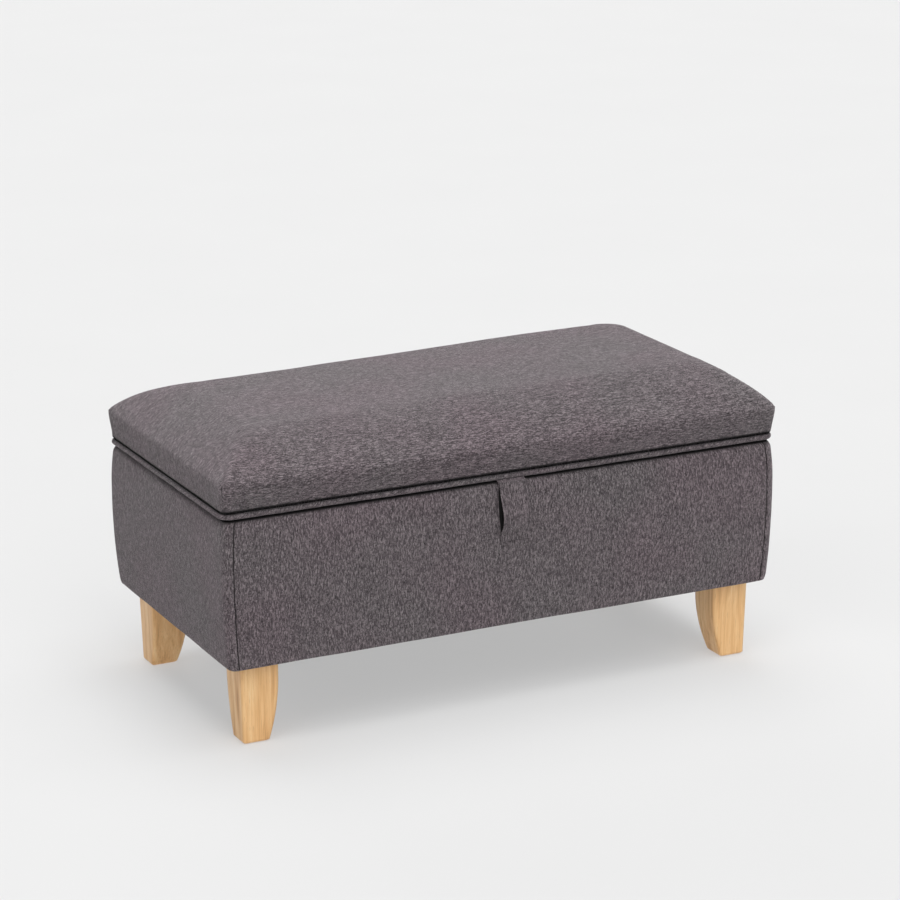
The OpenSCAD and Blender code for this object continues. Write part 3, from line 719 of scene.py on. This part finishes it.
def lid_wrap():
    """The cover's neck inside the piping and its stapled edge, turned in under the board."""
    nx, ny = 190, 96
    stations = round_stations(nx, ny)
    neck_l, neck_d = cord_hi.x - 2 * CORD_R - 0.4 * MM, cord_hi.y - 2 * CORD_R - 0.4 * MM
    under = LID_UNDER + 0.1 * MM
    section = [(0, LEDGE_Z + 0.5 * MM), (0, LEDGE_Z - 4 * MM), (0, under + 1.2 * MM),
               (0.4 * MM, under + 0.4 * MM), (1.2 * MM, under), (7 * MM, under),
               (14 * MM, under), (21 * MM, under), (FLANGE_W - 0.3 * MM, under)]
    rows = [at_height(ring(neck_l - i, neck_d - i, max(CORNER_R - i, 1 * MM), stations), z)
            for i, z in section]
    points = np.concatenate(rows)
    inset = np.repeat([i for i, _ in section], len(stations))
    points[:, 2] -= 0.25 * MM * np.clip(soft_noise(points, 60, 12), 0, 1) * (inset > 2 * MM)
    sunk = board_lo.z + 0.8 * MM
    for x in hinge_places():
        beside = np.abs(points[:, 0] - x) < HINGE_HALF + 1 * MM
        at_leaf = beside & (points[:, 1] > leaf_lo.y - 1 * MM)
        points[at_leaf, 2] = np.maximum(points[at_leaf, 2], sunk)
    at_tab = (points[:, 0] > tab_lo.x - 1 * MM) & (points[:, 0] < tab_hi.x + 1 * MM)
    at_tab &= points[:, 1] < 0
    points[at_tab, 2] = np.maximum(points[at_tab, 2], sunk)
    count = len(stations)
    faces = strip_faces(len(rows), count)[:, ::-1]
    down = run_along(section)
    run = np.linspace(0, 4 * (neck_l + neck_d), count + 1)
    cloth = strip_cloth(down, run, EDGE_LAYER)[:, ::-1]
    # Painted shade on the neck, which lies in the gap behind the piping.
    seam = 0.5 * (inset < 2 * MM)
    obj = cloth_piece("lid_cover_edge", points, faces, COVER, cloth, seam)
    thicken(obj, 0.7 * MM)
    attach(obj, "lid")


# ---- box ----

def draw_in(z):
    """How far the padded sides draw in, at height z, from their widest line."""
    low = LOW_BULGE * ((BELLY_Z - z) / LOW_SPAN) ** 2
    high = HIGH_BULGE * ((z - BELLY_Z) / HIGH_SPAN) ** 2
    foot = max(0, 1 - (z - UNDERSIDE) / EDGE_SPAN)
    rim = max(0, 1 - (BASE_TOP - z) / EDGE_SPAN)
    return (low if z < BELLY_Z else high) + EDGE_TUCK * foot ** 2 + RIM_TUCK * rim ** 2


def end_draw_in(z):
    """How much more the two ends draw in towards the foot than the front and back do."""
    return 1.6 * MM * (max(0, BELLY_Z - z) / LOW_SPAN) ** 2


def corner_radius(z):
    """The box's corners are pulled sharper towards the foot."""
    share = min(1, max(0, (z - UNDERSIDE) / (BELLY_Z - UNDERSIDE)))
    return LOW_CORNER_R + (CORNER_R - LOW_CORNER_R) * share


def sleeve_section():
    """The outer fabric's section from its edge under the box, up the side and over the rim, as
    (inset, height), closely spaced at both edges."""
    heights = [UNDERSIDE + h * MM for h in (0.6, 1.6, 3, 5, 7, 9)]
    heights += list(np.linspace(UNDERSIDE + 13 * MM, BASE_TOP - 13 * MM, 34))
    heights += [BASE_TOP - h * MM for h in (9, 7, 5, 3, 1.6, 0.6)]
    under = [(FLANGE_W + 12 * MM, UNDERSIDE), (26 * MM, UNDERSIDE), (15 * MM, UNDERSIDE),
             (11.5 * MM, UNDERSIDE + 0.1 * MM)]
    rim = [(draw_in(BASE_TOP) + 1.6 * MM, BASE_TOP), (11 * MM, BASE_TOP), (16 * MM, BASE_TOP),
           (HALF_L - lining_hi.x - 0.8 * MM, BASE_TOP), (HALF_L - lining_hi.x, BASE_TOP - 0.8 * MM)]
    return under + [(draw_in(z) + 0.3 * MM, z) for z in heights] + rim


def base_sleeve():
    """The padded box's outer fabric, from its turned-in edge underneath to the well's rim."""
    nx, ny = 200, 100
    even = round_stations(nx, ny)
    # Extra columns beside the four upright seams, which stand a little way in from the ends.
    long_run = 2 * (HALF_L - CORNER_R + CORNER_R * math.pi / 4)
    seam_share = (SEAM_IN - CORNER_R + CORNER_R * math.pi / 4) / long_run
    seams = [seam_share, 1 - seam_share, 2 + seam_share, 3 - seam_share]
    beside = np.array([-3, -1.8, -1.1, -0.55, 0, 0.55, 1.1, 1.8, 3]) * MM / long_run
    near = np.concatenate([s + beside for s in seams])
    clear = np.all(np.abs(even[:, None] - np.array(seams)) > 3.6 * MM / long_run, axis=1)
    stations = np.sort(np.concatenate([even[clear], near]))
    off_seam = np.min(np.abs(stations[:, None] - np.array(seams)), axis=1) * long_run

    section = sleeve_section()
    rows = [at_height(ring(HALF_L - i - end_draw_in(z), HALF_D - i, corner_radius(z), stations), z)
            for i, z in section]
    count = len(stations)
    points = np.concatenate(rows)
    faces = strip_faces(len(rows), count)
    outward = points[:, :2] - np.concatenate([ring(HALF_L - 14 * MM, HALF_D - 14 * MM, 0.1 * MM,
                                                   stations)] * len(rows))
    outward /= np.maximum(np.linalg.norm(outward, axis=1, keepdims=True), 1e-6)
    height = points[:, 2]
    on_side = (height > UNDERSIDE + 0.3 * MM) & (height < BASE_TOP - 0.3 * MM)
    away = np.tile(off_seam, len(rows))
    groove = np.exp(-(away / (0.8 * MM)) ** 2)
    pucker = np.exp(-(away / (9 * MM)) ** 2) * soft_noise(points * [1, 1, 2.2], 55, 6)
    edge = np.exp(-(height - UNDERSIDE) / (14 * MM))
    hem = soft_noise(points * [1, 1, 0.1], 14, 7)
    shift = (0.55 * MM * soft_noise(points, 11, 8) + 0.25 * MM * soft_noise(points, 40, 9)
             + 0.45 * MM * pucker - 0.75 * MM * groove + 0.8 * MM * edge * hem)
    points[:, :2] += outward * (shift * on_side)[:, None]
    lift = np.clip(soft_noise(points * [1, 1, 0], 8, 10), 0, 1) * 1.6 * MM
    insets = np.repeat([i for i, _ in section], len(stations))
    near_edge = np.exp(-(height - UNDERSIDE) / (10 * MM)) * (insets < 20 * MM)
    sag = FOOT_SAG * np.clip((13 * MM - insets) / (6 * MM), 0, 1)
    sag *= np.clip((HALF_L - np.abs(points[:, 0])) / (16 * MM), 0, 1)
    points[:, 2] += (lift - sag) * near_edge
    # Painted shade on the rows at the top, in the crease under the piping.
    crease = np.clip(1.3 * (1 - (BASE_TOP - height) / (4.5 * MM)), 0, 1) * (insets < 14 * MM)

    # Let the hinge leaves lie in the rim.
    for x in hinge_places():
        beside = np.abs(points[:, 0] - x) < HINGE_HALF + 0.5 * MM
        under_leaf = (beside & (points[:, 1] > leaf_lo.y)
                      & (points[:, 2] > panel_hi.z - 0.2 * MM))
        points[under_leaf, 2] = panel_hi.z - 0.1 * MM

    side = rows[20]             # part way up
    cloth = strip_cloth(run_along(section), run_along(np.vstack([side, side[:1]])), SLEEVE_LAYER)
    # Painted shade: darker in the grooves of the upright seams and in the crease at the rim.
    obj = cloth_piece("base_sleeve", points, faces, COVER, cloth,
                      np.maximum(groove * on_side, crease))
    thicken(obj, CLOTH_T)
    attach(obj, "base")
    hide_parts("base_cover", "front_padding", "back_padding", "left_padding",
                "right_padding")


# ---- pull tab ----

def tab_line():
    """Middle of the tab's fabric as (distance out to the front, height): the stapled end, down the
    back ply, round the fold, up the front ply and in again."""
    root_y, root_z = -tab_hi.y, LID_UNDER
    length = tab_hi.z - tab_lo.z
    loop = length - TAB_JOINED
    half = TAB_PLY / 2
    down = np.linspace(0.0005, length - 0.6 * MM, 30)
    back = root_y + TAB_LEAN * np.sin(math.pi / 2 * np.minimum(1, down / TAB_LEAN_L)) + half
    low = np.clip(down / loop, 0, 1) ** TAB_SAG
    gap = np.where(down < loop, TAB_GAP * np.sin(math.pi * low), 0)
    front = back + TAB_PLY + gap
    tail = [(lid_lining_hi.y + 1 * MM, root_z + half), (root_y - 12 * MM, root_z + half),
            (root_y - 3 * MM, root_z + half)]
    path = tail + [(o, root_z - h) for o, h in zip(back, down)]
    path.append(((back[-1] + front[-1]) / 2, root_z - length + 0.1 * MM))
    path += [(o, root_z - h) for o, h in zip(front[::-1], down[::-1])]
    return path


def pull_tab():
    """A strip of the cover fabric, folded into a hanging loop and edge stitched."""
    path = np.array(tab_line())
    step = run_along(path)
    along = np.linspace(0, step[-1], 150)
    line = np.column_stack([np.interp(along, step, path[:, k]) for k in (0, 1)])
    tangent = np.gradient(line, axis=0)
    tangent /= np.linalg.norm(tangent, axis=1, keepdims=True)
    normal = np.stack([tangent[:, 1], -tangent[:, 0]], 1)
    half_w = (tab_hi.x - tab_lo.x) / 2
    middle_x = (tab_hi.x + tab_lo.x) / 2
    # Section of the strip: flat, with rolled edges and a stitch line pressed in beside each.
    half = TAB_PLY / 2
    edge = [(1, 0.15), (0.985, 0.75), (0.95, 1), (0.89, 0.95), (TAB_STITCH, 0.5), (0.83, 0.95),
            (0.6, 1), (0.3, 1)]
    upper = [(-a, half * t) for a, t in edge] + [(0, half)] + [(a, half * t) for a, t in edge[::-1]]
    outline = upper + [(a, -t) for a, t in upper[::-1]]
    # The two plies don't lie quite over each other: the back one stands out to the left.
    turn = (np.argmin(line[:, 1]) + 0.5) / len(line)
    share = np.arange(len(line)) / len(line)
    on_back = np.clip(1 - share / turn, 0, 1)
    on_front = np.clip((share - turn) / (1 - turn), 0, 1)
    skew = TAB_SKEW_BACK * np.sin(np.pi * on_back) + TAB_SKEW_FRONT * (1 - on_front)
    skew *= np.clip(share / (0.5 * turn), 0, 1)
    rows = []
    for a, t in outline:
        rows.append(np.column_stack([middle_x + a * half_w + skew,
                                     -(line[:, 0] + normal[:, 0] * t), line[:, 1] + normal[:, 1] * t]))
    sides, count = len(rows), len(line)
    points = np.concatenate(rows)
    # The strip's skin, which is open from its last point to its first, and its two ends.
    flip = [0, 3, 2, 1]
    skin = np.arange(sides * count) % count < count - 1
    faces = (strip_faces(sides + 1, count) % len(points))[skin][:, flip]
    place = np.array([a for a, _ in outline + outline[:1]]) * half_w
    cloth = strip_cloth(place, along, TAB_LAYER)[:, flip][..., [1, 0, 2]]
    k = np.arange(len(upper) - 1)
    first = np.stack([k, k + 1, sides - 2 - k, sides - 1 - k], 1) * count
    faces = np.concatenate([faces, first[:, ::-1], first + count - 1])
    cloth = np.concatenate([cloth, np.broadcast_to([0, 0, TAB_LAYER], (2 * len(k), 4, 3))])
    # Painted shade along the pressed-in stitch lines and inside the loop.
    shade = [0.5 if abs(a) == TAB_STITCH else 0 for a, _ in outline]
    inside = np.array([t < 0 and abs(a) < 0.97 for a, t in outline])
    in_loop = (line[:, 1] > LID_UNDER - (tab_hi.z - tab_lo.z) + TAB_JOINED) & (share > 0.15)
    in_loop &= line[:, 1] < LID_UNDER - 1 * MM
    shade = np.maximum(np.repeat(shade, count), np.outer(inside, in_loop).ravel())
    obj = cloth_piece("pull_tab_strip", points, faces, COVER, cloth, shade)
    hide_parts("pull_tab", "tab_tail")
    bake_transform(obj)


# ---- legs ----

def leg_sections():
    """(height, how far the outer faces lean in, width) of a leg from its foot to its top."""
    top_w = leg_hi.x - leg_lo.x
    foot_z = leg_lo.z
    sag = top_w - LEG_LEAN - LEG_FOOT_W
    drop = leg_hi.z - LEG_STRAIGHT - foot_z
    radius = (drop ** 2 + sag ** 2) / (2 * sag)
    heights = [foot_z + h * MM for h in (0, 0.8, 1.6, 4, 8)]
    heights += list(np.linspace(foot_z + 14 * MM, leg_hi.z, 26))
    made = []
    for z in heights:
        below = max(0, leg_hi.z - LEG_STRAIGHT - z)
        inner = top_w - (radius - math.sqrt(radius ** 2 - below ** 2))
        outer = LEG_LEAN * (leg_hi.z - z) / (leg_hi.z - foot_z)
        bevel = max(0, LEG_CHAMFER - (z - foot_z))
        made.append((z, outer + bevel, inner - outer - 2 * bevel))
    return made


def leg(name, sx, sy):
    """One leg with softly rounded edges; sx and sy are the signs of its corner."""
    stations = round_stations(12, 12)
    rows = []
    for z, start, width in leg_sections():
        middle = start + width / 2
        centre = np.array([leg_lo.x + middle, leg_lo.y + middle])
        square = ring(width / 2, width / 2, LEG_EDGE_R, stations) + centre
        rows.append(at_height(square, z))
    points = np.concatenate(rows)
    count = len(stations)
    faces = strip_faces(len(rows), count).tolist()
    faces.append(list(range(count))[::-1])
    faces.append(list(range(len(points) - count, len(points))))
    points[:, 0] *= -sx
    points[:, 1] *= -sy
    if sx * sy < 0:
        faces = [f[::-1] for f in faces]
    obj = mesh_object(name, points.tolist(), faces, WOOD)
    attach(obj, "base")
    return obj


def legs():
    for back, sy in (("front", -1), ("back", 1)):
        for side, sx in (("left", -1), ("right", 1)):
            obj = leg(f"{back}_{side}_leg", sx, sy)
            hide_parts(f"leg_{back}_{side}")


# ---- linings ----

FLAT_STEP = 8 * MM


def flat_sheet(name, node, body, thickness, material, ripple=0.0):
    """A thin rectangular sheet in place of a node, its upper face up, with slight ripples."""
    x, y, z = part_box(node)[1]
    nx, ny = round(2 * x / FLAT_STEP), round(2 * y / FLAT_STEP)
    px, py = np.meshgrid(np.linspace(-x, x, nx + 1), np.linspace(-y, y, ny + 1), indexing="ij")
    flat = np.column_stack([px.ravel(), py.ravel(), np.full(px.size, z)])
    flat[:, 2] += ripple * soft_noise(flat, 18, 20)
    cell = grid_cells(nx, ny)
    obj = cloth_piece(name, flat, cell, material, flat[cell], np.zeros(len(flat)))
    thicken(obj, thickness)
    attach(obj, body)
    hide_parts(node)


WELL_STEP = 7 * MM


def well_outline():
    """Plan of the well's wall lining, which steps in round the four corner blocks."""
    a, b = lining_hi.x - LINING_T, lining_hi.y - LINING_T
    block = lining_hi.x - (block_hi.x - BLOCK_W) + LINING_T
    quarter = [(a - block, b), (a - block, b - block), (a, b - block)]
    turns = [(1, -1), (1, 1), (-1, 1), (-1, -1)]
    corners = []
    for k, (sx, sy) in enumerate(turns):
        spots = [(sx * x, sy * y) for x, y in quarter]
        corners += spots if k % 2 == 0 else spots[::-1]
    path = []
    for p, q in zip(corners, corners[1:] + corners[:1]):
        count = max(2, round(math.dist(p, q) / WELL_STEP))
        path += [(p[0] + (q[0] - p[0]) * k / count, p[1] + (q[1] - p[1]) * k / count)
                 for k in range(count)]
    return np.array(path)


def well_lining():
    """Cloth on the well's walls, closed over the tops of the corner blocks."""
    path = well_outline()
    heights = np.linspace(felt_hi.z - 1 * MM, lining_hi.z - 0.3 * MM, 26)
    rows = [at_height(path, z) for z in heights]
    points = np.concatenate(rows)
    inward = -np.sign(points[:, :2])
    at_wall = np.stack([np.abs(points[:, 0]) > lining_hi.x - 2 * MM,
                        np.abs(points[:, 1]) > lining_hi.y - 2 * MM], 1)
    ripple = 0.22 * MM * np.clip(soft_noise(points, 22, 15), 0, 1)
    points[:, :2] += inward * at_wall * ripple[:, None]
    faces = strip_faces(len(rows), len(path))[:, ::-1]
    run = run_along(path)
    run = np.append(run, run[-1] + WELL_STEP)
    cloth = strip_cloth(heights, run, 0)[:, ::-1, [1, 0, 2]]
    # A flap over each block, from the notch out to the panels.
    flaps, flap_faces, flap_cloth = [], [], []
    for sx in (-1, 1):
        for sy in (-1, 1):
            x0, x1 = sx * (block_hi.x - BLOCK_W - LINING_T), sx * lining_hi.x
            y0, y1 = sy * (block_hi.y - BLOCK_W - LINING_T), sy * lining_hi.y
            start = len(points) + len(flaps)
            flaps += [(x0, y0, heights[-1]), (x1, y0, heights[-1]), (x1, y1, heights[-1]),
                      (x0, y1, heights[-1])]
            order = (0, 1, 2, 3) if sx * sy > 0 else (3, 2, 1, 0)
            flap_faces.append([start + k for k in order])
            flap_cloth.append([(*flaps[start - len(points) + k][:2], FLAP_LAYER)
                               for k in order])
    points = np.concatenate([points, flaps])
    faces = np.concatenate([faces, flap_faces])
    cloth = np.concatenate([cloth, flap_cloth])
    obj = cloth_piece("well_wall_lining", points, faces, LINING, cloth, np.zeros(len(points)))
    thicken(obj, 0.7 * MM)
    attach(obj, "base")
    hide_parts("box_lining")


def staples(name, spots, z, body):
    """Wire staples driven up into an edge. A spot is (x, y, angle)."""
    half, bend, wire, sides = 5 * MM, 0.7 * MM, 0.35 * MM, 6
    path = [(-half, 0, 1.2 * MM), (-half, 0, bend), (-half + 0.3 * bend, 0, 0.3 * bend),
            (-half + bend, 0, 0), (half - bend, 0, 0), (half - 0.3 * bend, 0, 0.3 * bend),
            (half, 0, bend), (half, 0, 1.2 * MM)]
    path = np.array(path)
    ahead = np.gradient(path, axis=0)
    ahead /= np.linalg.norm(ahead, axis=1, keepdims=True)
    beside = np.array([0, 1, 0])
    above = np.cross(ahead, beside)
    turn = TAU * np.arange(sides) / sides
    tube = np.concatenate([p + wire * (1.5 * np.cos(turn)[:, None] * beside
                                       + 0.8 * np.sin(turn)[:, None] * n)
                           for p, n in zip(path, above)])
    skin = strip_faces(len(path), sides).tolist()
    skin += [list(range(sides))[::-1], list(range(len(tube) - sides, len(tube)))]
    points, faces = [], []
    for x, y, angle in spots:
        c, s = math.cos(angle), math.sin(angle)
        start = len(points)
        points += [(x + c * p - s * q, y + s * p + c * q, z + r) for p, q, r in tube]
        faces += [[v + start for v in f] for f in skin]
    obj = mesh_object(name, points, faces, ZINC)
    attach(obj, body)


def edge_spots(x, y, pitch, skip=()):
    """Staple places round a rectangle of half sizes x and y, a little off line; skip holds
    (x from, x to, side) stretches of the front (-1) or back (1) that stay clear."""
    spots = []
    for side in (-1, 1):
        for k in range(round(2 * x / pitch)):
            at = -x + (k + 0.5) * pitch
            if any(lo < at < hi and side == where for lo, hi, where in skip):
                continue
            spots.append((at, side * y + 0.8 * MM * math.sin(5 * at / pitch),
                          0.12 * math.sin(9 * at / pitch)))
        for k in range(round(2 * y / pitch)):
            at = -y + (k + 0.5) * pitch
            spots.append((side * x + 0.8 * MM * math.sin(6 * at / pitch), at,
                          math.pi / 2 + 0.12 * math.sin(8 * at / pitch)))
    return spots


def all_staples():
    staples("dust_cloth_staples", edge_spots(dust_hi.x - 7 * MM, dust_hi.y - 7 * MM, 41 * MM),
            dust_lo.z - 0.25 * MM, "base")
    staples("lid_lining_staples",
            edge_spots(lid_lining_hi.x - 6 * MM, lid_lining_hi.y - 6 * MM, 33 * MM),
            lid_lining_lo.z - 0.2 * MM, "lid")
    hinge_zones = [(x - HINGE_HALF - 6 * MM, x + HINGE_HALF + 6 * MM, 1) for x in hinge_places()]
    tab_zone = (tab_lo.x - 6 * MM, tab_hi.x + 6 * MM, -1)
    tab_middle = (tab_lo.x + tab_hi.x) / 2
    spots = edge_spots(lid_lining_hi.x + 12 * MM, lid_lining_hi.y + 12 * MM, 30 * MM,
                       hinge_zones + [tab_zone])
    spots += [(tab_middle + d * MM, -lid_lining_hi.y - 14 * MM, 0.1) for d in (-10, 10)]
    staples("lid_cover_staples", spots, LID_UNDER - 0.15 * MM, "lid")


def linings():
    well_lining()
    flat_sheet("floor_felt", "floor_lining", "base", 2.9 * MM, FELT,
               ripple=0.25 * MM)
    flat_sheet("dust_cloth", "dust_cover", "base", 0.6 * MM, DUST)
    flat_sheet("lid_underside_lining", "lid_lining", "lid", 0.8 * MM, LINING)


# ---- floor, light and camera ----

FLOOR_GLOW = 0.42
FLOOR_HALF = 60
CAMERA_PLACE = (-1.7467, -3.5766, 1.4653)
CAMERA_TURN, CAMERA_DOWN, CAMERA_ROLL = -26.187, 16.408, -0.3635
FOCAL_LENGTH, SENSOR_WIDTH = 123.92, 36

# Soft lights round the bench: azimuth from the front and turning right, elevation, strength.
SOFT_LIGHTS = {
    "front_low": (0, 15, 0.36), "front": (0, 40, 0.66), "front_high": (0, 70, 1.10),
    "left": (292, 40, 0.68), "back_low": (170, 15, 0.95), "back_high": (180, 70, 1.12),
    "right_low": (90, 15, 0.26), "right_high": (90, 70, 0.95),
}
LIGHT_SPREAD = 40


def stage():
    """A pale floor with a slight light of its own, as a lit studio sweep gives."""
    s = Shader("floor")
    here = s.add("TexCoord", out=3)
    tone = s.noise(here, (3, 3, 3), detail=2.0)
    s.finish(Base_Color=s.ramp(tone, [(0.3, 0.332), (0.7, 0.338)]),
             Roughness=0.9, Specular_IOR_Level=0.0, Emission_Color=grey(1.0),
             Emission_Strength=FLOOR_GLOW)
    corners = [(FLOOR_HALF * x, FLOOR_HALF * y, 0) for x, y in ((-1, -1), (1, -1), (1, 1), (-1, 1))]
    mesh_object("floor", corners, [(0, 1, 2, 3)], s.material)


def lights():
    world = bpy.data.worlds.new("studio")
    world.use_nodes = True
    world.node_tree.nodes["Background"].inputs[0].default_value = grey(0.0)
    bpy.context.scene.world = world
    for name, (azimuth, elevation, strength) in SOFT_LIGHTS.items():
        light = bpy.data.lights.new(name, "SUN")
        light.energy = strength
        light.angle = math.radians(LIGHT_SPREAD)
        a, e = math.radians(azimuth), math.radians(elevation)
        towards = Vector((math.sin(a) * math.cos(e), -math.cos(a) * math.cos(e), math.sin(e)))
        obj = bpy.data.objects.new(name, light)
        obj.rotation_mode = "QUATERNION"
        obj.rotation_quaternion = towards.to_track_quat("Z", "Y")
        bpy.context.scene.collection.objects.link(obj)


def camera():
    data = bpy.data.cameras.new("camera")
    data.sensor_width = SENSOR_WIDTH
    data.lens = FOCAL_LENGTH
    data.clip_start, data.clip_end = 0.1, 200
    obj = bpy.data.objects.new("camera", data)
    turn = Matrix.Rotation(math.radians(CAMERA_TURN), 4, "Z")
    tilt = Matrix.Rotation(math.radians(90 - CAMERA_DOWN), 4, "X")
    roll = Matrix.Rotation(math.radians(CAMERA_ROLL), 4, "Z")
    obj.matrix_world = Matrix.Translation(CAMERA_PLACE) @ turn @ tilt @ roll
    bpy.context.scene.collection.objects.link(obj)
    bpy.context.scene.camera = obj


bpy.context.scene.view_settings.view_transform = "Standard"
camera()
lights()
stage()
lid_cushion()
lid_piping()
lid_wrap()
base_sleeve()
pull_tab()
legs()
linings()
all_staples()
finish_cad_nodes()
